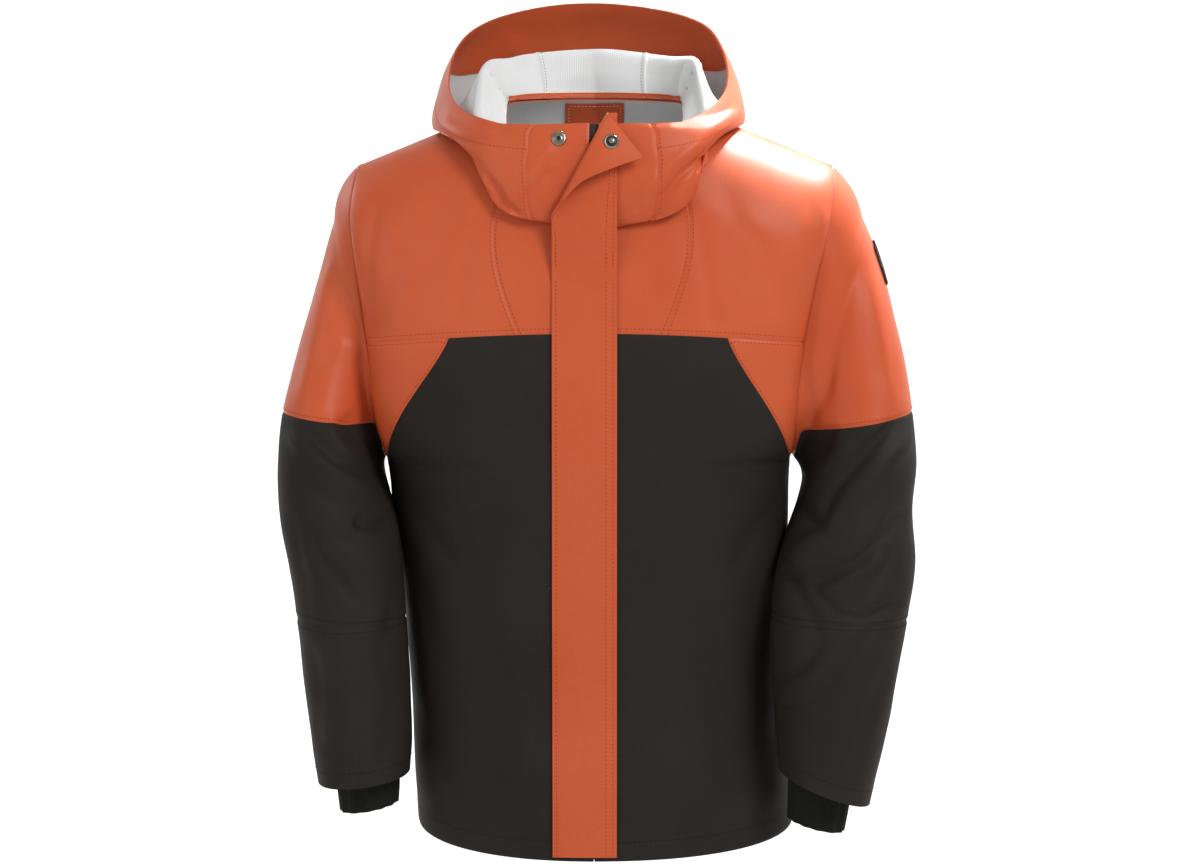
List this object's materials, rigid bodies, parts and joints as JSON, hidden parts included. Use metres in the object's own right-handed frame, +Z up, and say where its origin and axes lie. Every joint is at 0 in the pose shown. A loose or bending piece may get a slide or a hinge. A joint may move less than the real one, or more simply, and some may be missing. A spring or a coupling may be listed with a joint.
{
  "type": "hooded raincoat",
  "caption": "Hooded two-tone raincoat of coated cloth, filled out with no wearer, hood pushed back, storm flap folded open at the neck.",
  "frame": {"origin": "point between the shoulders, level with the shoulder line, where the wearer's neck and shoulders carry the coat", "axes": "+X towards the wearer's left, -Y forwards out of the front, +Z up"},
  "size_m": [0.658, 0.3559, 0.8777],
  "materials": {
    "shell": "orange polyurethane-coated knit, satin",
    "dark_shell": "near-black polyurethane-coated knit, satin",
    "knit": "matt black stretch cloth of the inner cuffs",
    "zip": "black moulded teeth on woven tape",
    "metal": "bright nickel plate"
  },
  "bodies": {
    "root": {"collar_r": "shell", "collar_l": "shell", "hood_side_r": "shell", "hood_side_l": "shell", "hood_centre": "shell", "hood_facing": "shell", "neck_tape": "shell", "neck_patch": "shell", "yoke_r": "shell", "yoke_l": "shell", "insert_r": "shell", "insert_l": "shell", "gusset_r": "shell", "gusset_l": "shell", "back_yoke": "shell", "sleeve_upper_r": "shell", "sleeve_upper_l": "shell", "storm_flap": "shell", "front_body_r": "dark_shell", "front_body_l": "dark_shell", "back_body": "dark_shell", "sleeve_lower_r": "dark_shell", "sleeve_lower_l": "dark_shell", "forearm_r": "dark_shell", "forearm_l": "dark_shell", "arm_patch": "dark_shell", "inner_cuff_r": "knit", "inner_cuff_l": "knit", "zip_tape_r": "zip", "zip_tape_l": "zip", "zip_teeth": "zip", "zip_slider": "metal", "snap_socket": "metal", "snap_stud": "metal"}
  },
  "joints": []
}
